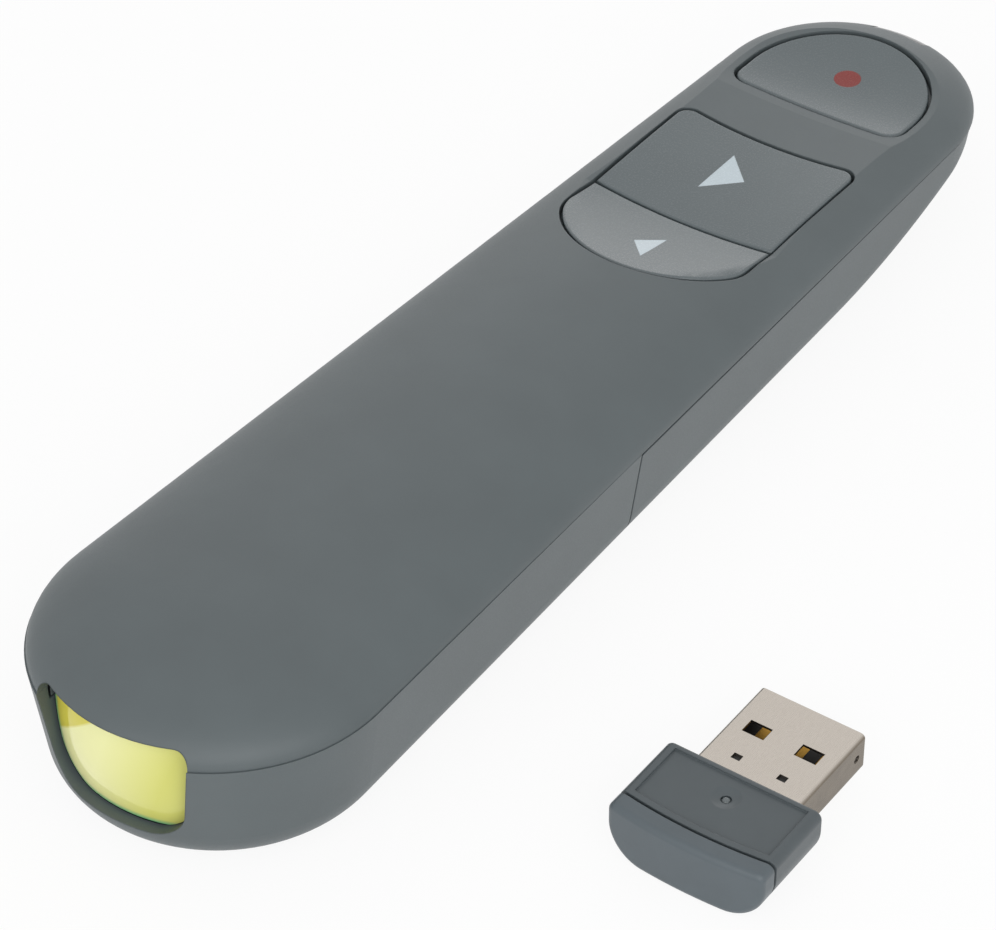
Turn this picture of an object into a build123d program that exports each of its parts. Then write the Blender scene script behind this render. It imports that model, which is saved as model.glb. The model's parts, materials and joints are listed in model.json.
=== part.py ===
from build123d import *
import math
import os

# Wireless presentation clicker: a slim handset with three keys, and its USB receiver.
# Units are millimetres.  +Y runs from the tail to the laser end, +Z is up, and the origin is
# the middle of the flat face that the handset lies on.  Every separate piece is one STEP file.

# ---------------------------------------------------------------- walls and clearances
wall = 1.3                    # lower shells and battery cover
top_wall = 1.2                # upper shell
touch_gap = 0.02              # faces that meet when the screws are tight
slide_gap = 0.3               # open line between the battery cover and its neighbours
screw_hole_gap = 0.2

# ---------------------------------------------------------------- batteries
cell_radius = 5.25
cell_length = 44.5
cell_nub_length = 0.8
cell_nub_radius = 1.9
cell_edge_round = 0.4
cell_gap = 0.3                # between the two cells
cell_side_gap = 0.3           # cell to tray wall
cell_floor_gap = 0.45         # cell to battery cover
spring_length = 3.4
spring_radius = 2.4
spring_wire_radius = 0.24
spring_turns = 2.5
contact_thickness = 0.3
contact_size = 8.0

# ---------------------------------------------------------------- battery tray
tray_wall = 0.95
tray_end_wall = 1.2
tray_floor_gap = 0.9          # tray's lower edge over the bottom of the cells
tray_plate_thickness = 1.5
tray_plate_half_width = 9.5
tray_plate_overhang = 3.2     # plate beyond its screws
middle_rib_width = 2.0
middle_rib_reach = 1.6        # how far the rib between the cells hangs under the board
rail_drop = 2.4               # top of the tray's rail under the parting plane
rail_thickness = 1.0
rail_reach = 1.3
rail_gap = 0.25

# ---------------------------------------------------------------- circuit board and switches
board_gap = 0.05
board_thickness = 0.6
board_side_gap = 0.4          # board narrower than the tray on each side
board_rear_half_width = 9.0
board_front_corner = 7.0
board_from_tail = 24.3
board_past_laser_centre = 5.15
switch_size = 3.6
switch_height = 0.55
switch_floor = 0.12
plunger_radius = 0.75
plunger_overlap = 0.1         # plunger left inside its switch at rest
plunger_gap = 0.05
key_travel = 0.3
key_stop_gap = 0.05           # key nub over the switch body with the key pressed

# ---------------------------------------------------------------- handset envelope
body_length = 148.6
side_room = 3.4               # front half width beyond the tray
tail_flare = 3.5              # the tail is this much wider on each side
crease_over_board = 0.4       # parting line over the board at mid length
crease_slope = 0.016          # the parting line falls this much per millimetre to the laser end
crown_ratio = 0.33            # crown height as a share of the half width
side_draft = 7.5              # the lower walls lean in by this many degrees
bottom_round = 5.0
bow_length = 38.3             # length of the underside that curves up to the laser tip
bow_tip_wall = 1.0            # height left under the parting line at the very tip
lip_thickness = 0.8
lip_drop = 1.4                # lip of the upper shell under the parting plane
lip_rise = 2.0
lip_gap = 0.1

# ---------------------------------------------------------------- keys, from the laser tip back
laser_front_band = 6.25       # shell in front of the laser key
laser_key_radius = 11.2
laser_key_straight = 4.65
laser_key_corner = 2.2
key_band = 8.2                # shell between laser key and next key
key_half_width = 11.65
next_length = 18.3
next_top_sag = 0.8
next_corner = 1.8
split_sag = 0.5
previous_length = 13.8
previous_tail_bulge = 0.95    # tail arc radius beyond the key's half width
previous_corner = 5.0
key_gap = 0.35                # slit between key and shell
cap_thickness = 1.0
flange_width = 0.8
flange_thickness = 0.4
flange_gap = 0.1
flange_clearance = 0.2        # flange over the board with the key pressed
nub_radius = 1.2

# ---------------------------------------------------------------- finger scoop across the keys
scoop_radius = 155.0          # the scoop is slightly hollow from side to side
scoop_split_rise = 0.25       # heights over the lowest point of the scoop
scoop_flat_rise = 0.46
scoop_band_rise = 0.25
scoop_ramp_rise = 1.37
scoop_end_rise = 1.95
scoop_start_over_ridge = 0.17

# ---------------------------------------------------------------- printed marks
mark_depth = 0.12
dot_radius = 1.57
dot_past_centre = 3.35
next_mark_length = 3.74
next_mark_width = 7.4
next_mark_from_split = 9.7
previous_mark_length = 2.6
previous_mark_width = 5.3
previous_mark_from_tail = 6.3

# ---------------------------------------------------------------- laser
barrel_radius = 1.1
barrel_from_tip = 5.0
barrel_from_switch = 3.9
barrel_bore_radius = 0.75
barrel_bore_depth = 1.2
barrel_drop = 0.05            # barrel axis under the top of the board
laser_lens_thickness = 0.8
laser_lens_recess = 0.3
slot_half_width = 3.45
slot_low = 0.25               # slot edges over the parting plane
slot_high = 2.95
slot_from_tip = 5.0
slot_glass_gap = 0.06
slot_glass_recess = 0.05
slot_glass_thickness = 1.2
relief_skin = 0.6             # laser key thinned over the barrel
relief_side_gap = 0.8

# ---------------------------------------------------------------- tail window
window_half_width = 9.5       # at the top; the sides lean in toward the floor
window_lean = 8.5             # degrees
window_low = 4.1
window_over_crease = 1.8
window_low_corner = 4.2
window_high_corner = 1.7
window_frame = 1.3
window_frame_depth = 3.3
lens_recess = 1.5
lens_thickness = 1.5
lens_gap = 0.1
lens_belly = 0.35             # the lens is crowned by about this much
guide_drop = 1.7              # light guide under the board's underside
guide_rise = 1.1
guide_rear_half_width = 7.6
guide_front_half_width = 4.5
guide_gap = 0.7               # light guide to the back of the lens
guide_board_gap = 1.0
guide_post_radius = 1.2
guide_post_x = 3.0
light_x = 2.6
light_size = (2.0, 1.6, 0.8)
chips = (                     # x, from the middle of the free board, width, depth, height
    (0.0, 3.4, 5.0, 5.0, 0.9),
    (-5.8, 7.0, 3.2, 2.5, 0.8),
    (5.4, 0.4, 3.0, 4.4, 1.2),
    (-5.0, -6.5, 2.0, 6.0, 1.0),
)

# ---------------------------------------------------------------- screws and bosses
screw_radius = 0.9
screw_head_radius = 1.8
screw_head_height = 1.1
screw_slot_width = 0.5
screw_slot_depth = 0.45
boss_radius = 2.3
tray_screw_x = 6.5
tray_screw_bite = (1.6, 3.2)  # front and rear screws, into the bosses over the board
bay_to_screw = 4.6
rear_screw_from_bay = 6.0
shell_screw_x = 12.0
shell_screw_from_tail = 40.3
shell_screw_seat = 6.5
shell_screw_floor = 1.5
shell_screw_bite = 6.5
lower_boss_extra = 0.7
post_radius = 1.5
post_x = 6.0
post_from_board_end = 4.0

# ---------------------------------------------------------------- battery cover
seam_to_bay = 2.8
seam_gap = 0.25
tab_gap = 0.25
tab_thickness = 0.8
tab_reach = 2.2
tab_root = 3.0
tab_drop = 4.0                # side tabs stay this far under the parting plane
tab_half_width = 2.5
tab_side_gap = 0.7
grip_count = 5
grip_pitch = 2.0
grip_radius = 0.6
grip_depth = 0.35
grip_length = 15.0
grip_from_seam = 10.5
rail_end_gap = 1.5

# ---------------------------------------------------------------- receiver
receiver_place = (47.9, -22.7)   # tip of the plug over the desk
receiver_turn = 0.2
receiver_width = 17.7
receiver_height = 6.6
receiver_low_round = 4.3
receiver_high_round = 0.9
receiver_body_length = 8.3
receiver_cap_length = 2.4
receiver_bow = 0.7               # body and cap bulge back by this much in plan
receiver_cap_round = 0.7
receiver_face_round = 0.4
cap_groove = 0.35
cap_neck_depth = 1.0
cavity_half_width = 7.0
cavity_height = 3.2
cavity_end_wall = 0.9
socket_depth = 1.5
panel_border = 0.7
panel_depth = 0.25
pipe_radius = 0.5
pipe_from_front = 3.4
pipe_recess = 0.2
pipe_round = 0.4
pipe_gap = 0.05
dimple_radius = 1.55
dimple_depth = 0.3
plug_width = 12.0
plug_height = 4.5
plug_length = 12.4
plug_root = 1.4
plug_skin = 0.3
plug_round = 0.5
plug_window = (2.5, 1.8)
plug_window_x = 3.0
plug_window_from_tip = 4.6
plug_slot = (1.0, 0.8)
plug_slot_x = 2.6
plug_slot_from_tip = 9.4
plug_hole_radius = 0.45
plug_hole_from_tip = 1.4
tongue_thickness = 1.9
tongue_setback = 0.5
tongue_block_from_tip = 8.9
pad_width = 1.0
pad_depth = 0.25
pad_outer_x = 3.5
pad_inner_x = 1.0
pad_outer_setback = 1.3
pad_inner_setback = 2.3
receiver_board_half_width = 6.4
receiver_board_thickness = 0.8
receiver_chip = (4.0, 3.6, 0.9)

# ---------------------------------------------------------------- worked-out sizes and stations
far = 200.0                   # past everything
over_all = 30.0               # a height over the whole handset
cell_pitch = 2 * cell_radius + cell_gap
cell_height = wall + cell_floor_gap + cell_radius
board_bottom = cell_height + cell_radius + board_gap
board_top = board_bottom + board_thickness
crease_height = board_top + crease_over_board
bay_half_width = cell_pitch / 2 + cell_radius + cell_side_gap
tray_half_width = bay_half_width + tray_wall
front_radius = tray_half_width + side_room
tail_radius = front_radius + tail_flare
draft_run = math.tan(math.radians(side_draft))

tip_y = body_length / 2
tail_y = -body_length / 2
tail_centre_y = tail_y + tail_radius
front_centre_y = tip_y - front_radius
taper_sine = (tail_radius - front_radius) / (front_centre_y - tail_centre_y)
taper_cosine = math.sqrt(1 - taper_sine ** 2)

laser_centre_y = tip_y - laser_front_band - laser_key_radius
laser_low_y = laser_centre_y - laser_key_straight
next_top_y = laser_low_y - key_band
split_y = next_top_y - next_length
previous_tail_y = split_y - previous_length
previous_tail_radius = key_half_width + previous_tail_bulge

front_screw_y = laser_low_y - key_band / 2
bay_end_y = front_screw_y - bay_to_screw
bay_start_y = bay_end_y - cell_length - spring_length - 2 * contact_thickness
rear_screw_y = bay_start_y - rear_screw_from_bay
seam_y = bay_start_y - seam_to_bay
shell_screw_y = tail_y + shell_screw_from_tail
board_rear_y = tail_y + board_from_tail
board_front_y = laser_centre_y + board_past_laser_centre
bow_start_y = tip_y - bow_length

switch_places = {
    "laser": laser_low_y + 2.95,
    "next": split_y + 7.3,
    "previous": previous_tail_y + 7.6,
}
barrel_rear_y = switch_places["laser"] + barrel_from_switch
barrel_front_y = tip_y - barrel_from_tip
beam_height = board_top - barrel_drop
switch_top = board_top + switch_height
plunger_stand = key_travel + key_stop_gap
flange_bottom_inset = top_wall + flange_gap + flange_thickness

body_front = -plug_length
body_back = body_front - receiver_body_length
cap_end = body_back - receiver_cap_length
receiver_middle = receiver_height / 2
plug_low = receiver_middle - plug_height / 2
panel_height = receiver_height - panel_depth
cavity_top = receiver_middle + cavity_height / 2

crease = Plane(origin=(0, 0, crease_height), x_dir=(1, 0, 0), z_dir=(0, crease_slope, 1))


# ---------------------------------------------------------------- small helpers
def crease_z(y):
    """Height of the parting plane over the desk."""
    return crease_height - crease_slope * y


def box_between(low, high):
    """Axis-aligned box between two opposite corners."""
    size = [high[i] - low[i] for i in range(3)]
    centre = [(high[i] + low[i]) / 2 for i in range(3)]
    return Pos(*centre) * Box(*size)


def upright(x, y, low, high, radius):
    """Upright cylinder between two heights."""
    seat = (Align.CENTER, Align.CENTER, Align.MIN)
    return Pos(x, y, low) * Cylinder(radius, high - low, align=seat)


def lengthwise(y_high, y_low, z, radius):
    """Cylinder along Y on the middle line."""
    seat = (Align.CENTER, Align.CENTER, Align.MIN)
    return Pos(0, y_high, z) * Rot(90, 0, 0) * Cylinder(radius, y_high - y_low, align=seat)


def column(face, low=0.0, high=over_all):
    """Upright prism over a plan outline."""
    return extrude(Pos(0, 0, low) * face, high - low)


def both_sides(x, y):
    return [(-x, y), (x, y)]


# ---------------------------------------------------------------- handset envelope
def plan_outline(grow):
    """Handset plan: a big arc at the tail, a smaller one at the laser end, tangent sides."""
    big = tail_radius + grow
    small = front_radius + grow
    tail_point = (big * taper_cosine, tail_centre_y + big * taper_sine)
    front_point = (small * taper_cosine, front_centre_y + small * taper_sine)
    tail_mirror = (-tail_point[0], tail_point[1])
    front_mirror = (-front_point[0], front_point[1])
    return make_face([
        ThreePointArc(tail_mirror, (0, tail_centre_y - big), tail_point),
        Line(tail_point, front_point),
        ThreePointArc(front_point, (0, front_centre_y + small), front_mirror),
        Line(front_mirror, tail_mirror),
    ])


def crown_flattening(inset):
    """How much of its height the round bar keeps when it is flattened into the crown."""
    mean_radius = (tail_radius + front_radius) / 2
    return (crown_ratio * mean_radius - inset) / (mean_radius - inset)


def round_bar(inset):
    """Upper half of two balls and the cone that touches both: the crown before flattening."""
    big = tail_radius - inset
    small = front_radius - inset
    diagonal = math.sqrt(0.5)
    tail_touch = (big * taper_cosine, tail_centre_y + big * taper_sine)
    front_touch = (small * taper_cosine, front_centre_y + small * taper_sine)
    tail_tip = (0, tail_centre_y - big)
    front_tip = (0, front_centre_y + small)
    tail_mid = (big * diagonal, tail_centre_y - big * diagonal)
    front_mid = (small * diagonal, front_centre_y + small * diagonal)
    profile = make_face([
        ThreePointArc(tail_tip, tail_mid, tail_touch),
        Line(tail_touch, front_touch),
        ThreePointArc(front_touch, front_mid, front_tip),
        Line(front_tip, tail_tip),
    ])
    return revolve(profile, Axis.Y, -180)


def ridge_over_crease(y):
    """Height of the uncut crown's middle line over the parting plane, between the two balls."""
    along = (front_centre_y - y) / (front_centre_y - tail_centre_y)
    return crown_ratio * (front_radius + tail_flare * along)


def scoop_bottom():
    """Lowest point of the scoop over the parting plane: the laser key's flange sets it."""
    stack = flange_bottom_inset + key_travel + flange_clearance
    return board_top + stack - crease_z(laser_centre_y)


def scoop(drop):
    """Cutter for the finger scoop: its profile turned about a far axis along the handset."""
    bottom = scoop_bottom() - drop
    ceiling = 12.0
    start_y = previous_tail_y - 0.9
    start = (start_y, ridge_over_crease(start_y) + scoop_start_over_ridge - drop)
    ramp = (previous_tail_y + 6.1, bottom + scoop_ramp_rise)
    split = (split_y - split_sag, bottom + scoop_split_rise)
    flat = (next_top_y - 7.0, bottom + scoop_flat_rise)
    band = (laser_low_y - 1.7, bottom + scoop_band_rise)
    bowl = (laser_centre_y + 3.15, bottom)
    end = (tip_y - 3.8, bottom + scoop_end_rise)
    profile = Plane.YZ * make_face([
        ThreePointArc(start, ramp, split),
        ThreePointArc(split, flat, band),
        ThreePointArc(band, bowl, end),
        Line(end, (end[0], ceiling)),
        Line((end[0], ceiling), (start[0], ceiling)),
        Line((start[0], ceiling), start),
    ])
    half_angle = math.degrees(math.asin((front_radius - 1.0) / scoop_radius))
    axis = Axis((0, 0, scoop_radius), (0, 1, 0))
    return revolve(profile.rotate(axis, -half_angle), axis, 2 * half_angle)


def envelope(inset):
    """Everything over the parting plane: crown less scoop, shrunk by inset, in place.

    The scoop is stretched and cut from the round bar, and the bar is then flattened.
    """
    flatten = crown_flattening(inset)
    cutter = scale(scoop(inset), by=(1, 1, 1 / flatten))
    return crease.location * scale(round_bar(inset) - cutter, by=(1, 1, flatten))


def below_crease(drop, y_low=-far, y_high=far):
    """Block under the parting plane, lowered by drop, between two stations."""
    return crease.location * box_between((-far, y_low, -far), (far, y_high, -drop))


def floor_block(inset):
    """Everything over the underside: flat, then an upward arc to the laser end."""
    ceiling = 40.0
    rise = crease_z(tip_y) - bow_tip_wall
    radius = (bow_length ** 2 + rise ** 2) / (2 * rise) - inset
    centre_z = radius + inset
    sweep = math.asin(min(0.98, (bow_length + 6.0) / radius))
    mid = (bow_start_y + radius * math.sin(sweep / 2), centre_z - radius * math.cos(sweep / 2))
    end = (bow_start_y + radius * math.sin(sweep), centre_z - radius * math.cos(sweep))
    profile = make_face([
        Line((-far, inset), (bow_start_y, inset)),
        ThreePointArc((bow_start_y, inset), mid, end),
        Line(end, (end[0], ceiling)),
        Line((end[0], ceiling), (-far, ceiling)),
        Line((-far, ceiling), (-far, inset)),
    ])
    return extrude(Plane.YZ * profile, 2 * tail_radius, both=True)


def lower_hull(inset):
    """Drafted lower body whose whole bottom edge, flat and bow alike, is rounded."""
    top = crease_height + 4.7
    below_desk = 4.0
    grow = (top - crease_height) * draft_run - inset
    outline = Pos(0, 0, top) * plan_outline(grow)
    body = extrude(outline, top + below_desk, dir=(0, 0, -1), taper=side_draft)
    body = body & floor_block(inset)
    under = [face for face in body.faces() if face.normal_at(face.center()).Z < -0.5]
    rim = []
    for edge in body.edges():
        uses = [face for face in under if any(edge.is_same(other) for other in face.edges())]
        if len(uses) == 1:
            rim.append(edge)
    return fillet(rim, bottom_round - inset)


def lip_ring(inset, thickness, low, high):
    """Thin upright band along the plan outline, behind the battery cover's seam."""
    outer = extrude(plan_outline(-inset), high - low)
    inner = extrude(plan_outline(-inset - thickness), high - low)
    band = Pos(0, 0, low) * (outer - inner)
    band = band & box_between((-far, -far, -far), (far, seam_y - tab_reach - 1.0, far))
    return crease.location * band


# ---------------------------------------------------------------- key outlines
def next_outline(shrink):
    half = key_half_width
    face = make_face([
        ThreePointArc((-half, next_top_y), (0, next_top_y - next_top_sag), (half, next_top_y)),
        Line((half, next_top_y), (half, split_y)),
        ThreePointArc((half, split_y), (0, split_y - split_sag), (-half, split_y)),
        Line((-half, split_y), (-half, next_top_y)),
    ])
    face = fillet(face.vertices().sort_by(Axis.Y)[-2:], next_corner)
    return offset(face, -shrink, kind=Kind.INTERSECTION)


def previous_outline(shrink):
    half = key_half_width
    radius = previous_tail_radius
    low = previous_tail_y + radius - math.sqrt(radius ** 2 - half ** 2)
    face = make_face([
        ThreePointArc((-half, split_y), (0, split_y - split_sag), (half, split_y)),
        Line((half, split_y), (half, low)),
        ThreePointArc((half, low), (0, previous_tail_y), (-half, low)),
        Line((-half, low), (-half, split_y)),
    ])
    face = fillet(face.vertices().sort_by(Axis.Y)[:2], previous_corner)
    return offset(face, -shrink, kind=Kind.INTERSECTION)


def laser_outline(shrink):
    radius = laser_key_radius
    centre = laser_centre_y
    face = make_face([
        ThreePointArc((radius, centre), (0, centre + radius), (-radius, centre)),
        Line((-radius, centre), (-radius, laser_low_y)),
        Line((-radius, laser_low_y), (radius, laser_low_y)),
        Line((radius, laser_low_y), (radius, centre)),
    ])
    face = fillet(face.vertices().sort_by(Axis.Y)[:2], laser_key_corner)
    return offset(face, -shrink, kind=Kind.INTERSECTION)


key_outlines = {
    "laser": laser_outline,
    "next": next_outline,
    "previous": previous_outline,
}


# ---------------------------------------------------------------- keys
def flange_zone(name):
    """The two lower keys meet at the split, so their flanges stop short of it."""
    low, high = -far, far
    if name == "next":
        low = split_y + flange_gap
    if name == "previous":
        high = split_y - split_sag - key_gap / 2 - flange_gap
    return box_between((-far, low, -far), (far, high, far))


def key_cap(name):
    """Thin curved plate with a skirt, a flange that hooks under the shell, and a switch nub."""
    outline = key_outlines[name]
    edge = key_gap / 2
    skirt_foot = column(outline(edge))
    flange_foot = column(outline(-edge - flange_width)) & flange_zone(name)
    pocket_foot = column(outline(edge + flange_width))
    block = (outer_envelope & skirt_foot) + (envelopes["flange_high"] & flange_foot)
    nub = upright(0, switch_places[name], switch_top + plunger_stand, over_all, nub_radius)
    hollow = envelopes["flange_low"] + (envelopes["cap"] & pocket_foot)
    cap = block - (hollow - nub)
    if name == "laser":
        side = barrel_radius + relief_side_gap
        relief = box_between((-side, barrel_rear_y - relief_side_gap, 0), (side, far, far))
        cap = cap - (relief & envelopes["relief"])
    return cap


def arrow_face(back_y, half_width, reach):
    """Triangle across the handset whose point looks along +X for a positive reach."""
    return make_face(Polyline(
        (-reach / 2, back_y - half_width),
        (reach / 2, back_y),
        (-reach / 2, back_y + half_width),
        close=True,
    ))


def key_mark(name):
    """Printed mark: a thin inlay flush with the key's own surface."""
    if name == "laser":
        face = Pos(0, laser_centre_y + dot_past_centre) * Circle(dot_radius)
    elif name == "next":
        face = arrow_face(split_y + next_mark_from_split, next_mark_width / 2, next_mark_length)
    else:
        place = previous_tail_y + previous_mark_from_tail
        face = arrow_face(place, previous_mark_width / 2, -previous_mark_length)
    return (outer_envelope - envelopes["mark"]) & column(face)


# ---------------------------------------------------------------- tail window
def window_high():
    return crease_z(tail_y) + window_over_crease


def window_face(grow):
    """Tail window seen from behind: sides that lean in, large lower corners, small upper ones."""
    high = window_high()
    low_half = window_half_width - (high - window_low) * math.tan(math.radians(window_lean))
    face = make_face(Polyline(
        (-low_half, window_low),
        (low_half, window_low),
        (window_half_width, high),
        (-window_half_width, high),
        close=True,
    ))
    face = fillet(face.vertices().sort_by(Axis.Y)[:2], window_low_corner)
    face = fillet(face.vertices().sort_by(Axis.Y)[-2:], window_high_corner)
    return offset(face, grow) if grow else face


def window_prism(grow):
    outside = 5.0
    depth = outside + 12.0
    plane = Plane(origin=(0, tail_y - outside, 0), x_dir=(1, 0, 0), z_dir=(0, -1, 0))
    return extrude(plane * window_face(grow), -depth)


def tail_turned(edges):
    """Closed (radius, height) outline turned about the tail's upright axis."""
    return Pos(0, tail_centre_y, 0) * revolve(Plane.XZ * make_face(edges), Axis.Z)


def window_frame_zone():
    """Material kept between the outer wall and the back of the window frame."""
    back = tail_radius - window_frame_depth
    low_back = back - (crease_height - window_low) * draft_run
    core = tail_turned([
        Line((0, -1), (low_back, -1)),
        Line((low_back, -1), (back, crease_height)),
        Line((back, crease_height), (back, over_all)),
        Line((back, over_all), (0, over_all)),
        Line((0, over_all), (0, -1)),
    ])
    return window_prism(window_frame) - core


def tail_lens():
    """Crowned tinted window, set back in its frame."""
    middle = (window_low + window_high()) / 2
    low_r = tail_radius - lens_recess - (crease_height - window_low) * draft_run
    high_r = tail_radius - lens_recess - window_over_crease / 2
    mid_r = (low_r + high_r) / 2 + lens_belly * 2
    low = (low_r, window_low - 0.5)
    mid = (mid_r, middle)
    high = (high_r, window_high() + 0.5)
    low_in = (low[0] - lens_thickness, low[1])
    mid_in = (mid[0] - lens_thickness, mid[1])
    high_in = (high[0] - lens_thickness, high[1])
    turned = tail_turned([
        ThreePointArc(low, mid, high),
        Line(high, high_in),
        ThreePointArc(high_in, mid_in, low_in),
        Line(low_in, low),
    ])
    return turned & window_prism(-lens_gap)


def light_guide():
    """Clear fan that carries the status light from the board to the tail lens."""
    lens_back = tail_radius - window_over_crease / 2 - lens_recess - lens_thickness
    low = board_bottom - guide_drop
    high = board_top + guide_rise
    near = board_rear_y - guide_board_gap
    shoulder = near - 10.5
    fan = make_face(Polyline(
        (-guide_front_half_width, near),
        (guide_front_half_width, near),
        (guide_rear_half_width, shoulder),
        (guide_rear_half_width, tail_y),
        (-guide_rear_half_width, tail_y),
        (-guide_rear_half_width, shoulder),
        close=True,
    ))
    reach = upright(0, tail_centre_y, low, high, lens_back - guide_gap)
    return column(fan, low, high) & reach


def status_lights():
    """Two light emitters at the board's rear edge."""
    wide, deep, tall = light_size
    back = board_rear_y + 0.2
    return Compound(children=[
        box_between((x - wide / 2, back, board_top), (x + wide / 2, back + deep, board_top + tall))
        for x in (-light_x, light_x)
    ])


# ---------------------------------------------------------------- screws
def screw_bores():
    """Each entry: x, y, underside of the head, tip of the shank."""
    plate_low = board_bottom - tray_plate_thickness
    front_tip = board_top + tray_screw_bite[0]
    rear_tip = board_top + tray_screw_bite[1]
    shell_tip = shell_screw_seat + shell_screw_floor + shell_screw_bite
    bores = [(x, y, plate_low, front_tip) for x, y in both_sides(tray_screw_x, front_screw_y)]
    bores += [(x, y, plate_low, rear_tip) for x, y in both_sides(tray_screw_x, rear_screw_y)]
    bores += [
        (x, y, shell_screw_seat, shell_tip) for x, y in both_sides(shell_screw_x, shell_screw_y)
    ]
    return bores


def tray_screw_places():
    return both_sides(tray_screw_x, front_screw_y) + both_sides(tray_screw_x, rear_screw_y)


def screws():
    """Six cross-head screws of one kind."""
    solids = []
    for x, y, seat, tip in screw_bores():
        shank = upright(x, y, seat, tip, screw_radius)
        head = upright(x, y, seat - screw_head_height, seat, screw_head_radius)
        long_way = 1.2 * screw_head_radius
        slot = Box(long_way, screw_slot_width, 2 * screw_slot_depth)
        slot = slot + Box(screw_slot_width, long_way, 2 * screw_slot_depth)
        solids.append(shank + head - Pos(x, y, seat - screw_head_height) * slot)
    return Compound(children=solids)


# ---------------------------------------------------------------- shells
def slot_prism(shrink):
    """Laser slot at the tip, in the parting plane's frame."""
    return crease.location * box_between(
        (-slot_half_width + shrink, tip_y - slot_from_tip, slot_low + shrink),
        (slot_half_width - shrink, tip_y + 5, slot_high - shrink),
    )


def laser_window():
    """Dark glass that fills the laser slot, set back a little."""
    return (envelopes["glass_out"] - envelopes["glass_in"]) & slot_prism(slot_glass_gap)


def upper_shell():
    """Crowned top with its key openings, locating lip and screw bosses."""
    lip_inset = wall + lip_gap + lip_drop * draft_run
    shell = outer_envelope - envelopes["wall"]
    shell = shell + lip_ring(lip_inset, lip_thickness, -lip_drop, lip_rise)
    shell = shell + (window_frame_zone() & outer_envelope)
    for x, y in tray_screw_places():
        shell = shell + (upright(x, y, board_top, over_all, boss_radius) & envelopes["half"])
    boss_low = shell_screw_seat + shell_screw_floor + touch_gap
    boss_zone = envelopes["half"] + below_crease(0)
    for x, y in both_sides(shell_screw_x, shell_screw_y):
        shell = shell + (upright(x, y, boss_low, over_all, boss_radius) & boss_zone)
    for outline in key_outlines.values():
        shell = shell - column(outline(-key_gap / 2), crease_height - 2)
    shell = shell - slot_prism(0)
    shell = shell - window_prism(0)
    for x, y, seat, tip in screw_bores():
        shell = shell - upright(x, y, seat, tip, screw_radius)
    return shell


def rear_lower_shell():
    """Lower half behind the battery cover, with its screw bosses and board posts."""
    inside = lower_outer & below_crease(touch_gap, -far, seam_y)
    skin = lower_outer - lower_inner
    shell = inside - lower_inner
    shell = shell + (window_frame_zone() & inside)
    boss_high = shell_screw_seat + shell_screw_floor
    floor = wall / 2
    for x, y in both_sides(shell_screw_x, shell_screw_y):
        shell = shell + (upright(x, y, floor, boss_high, boss_radius + lower_boss_extra) & inside)
    for x, y in both_sides(post_x, board_rear_y + post_from_board_end):
        shell = shell + upright(x, y, floor, board_bottom, post_radius)
    for x, y in both_sides(guide_post_x, board_rear_y - 8.0):
        shell = shell + upright(x, y, floor, board_bottom - guide_drop, guide_post_radius)
    lip_space = lip_ring(wall, lip_thickness + 3 * lip_gap, -lip_drop - 2 * lip_gap, lip_rise)
    shell = shell - (lip_space - skin)
    shell = shell - window_prism(0)
    for x, y in both_sides(shell_screw_x, shell_screw_y):
        head_hole = screw_head_radius + screw_hole_gap
        shell = shell - upright(x, y, -1, shell_screw_seat, head_hole)
        shell = shell - upright(x, y, -1, over_all, screw_radius + screw_hole_gap)
    return shell


def cover_rails():
    """Two ribs inside the battery cover that run under the tray's rails."""
    top = -rail_drop - rail_thickness - rail_gap
    near = tray_half_width + 0.5
    ribs = Part()
    for low_x, high_x in ((-tail_radius, -near), (near, tail_radius)):
        ribs = ribs + box_between(
            (low_x, seam_y + tab_root, top - rail_thickness),
            (high_x, bay_end_y - rail_end_gap, top),
        )
    return crease.location * ribs


def cover_tabs():
    """Three tabs at the cover's tail end that reach inside the rear shell."""
    high_inset = wall + tab_gap
    low_inset = high_inset + tab_thickness
    side_x = tray_half_width + tab_side_gap
    core = lower_hull(low_inset)
    tongue = (lower_hull(high_inset) - core) & below_crease(
        tab_drop, seam_y - tab_reach, seam_y + tab_root
    )
    root = (lower_hull(wall / 2) - core) & below_crease(
        tab_drop, seam_y + seam_gap, seam_y + tab_root
    )
    middle = box_between((-tab_half_width, -far, -far), (tab_half_width, far, crease_height / 2))
    left = box_between((-far, -far, -far), (-side_x, far, far))
    right = box_between((side_x, -far, -far), (far, far, far))
    return (tongue + root) & (middle + left + right)


def battery_cover():
    """Long lower cover that slides off toward the laser end."""
    zone = below_crease(slide_gap, seam_y + seam_gap, far)
    cover = (lower_outer - lower_inner) & zone
    cover = cover + (cover_rails() & lower_outer & zone)
    cover = cover + cover_tabs()
    for index in range(grip_count):
        y = seam_y + grip_from_seam + index * grip_pitch
        bar = Cylinder(grip_radius, grip_length)
        cover = cover - Pos(0, y, grip_depth - grip_radius) * Rot(0, 90, 0) * bar
    return cover


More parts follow.
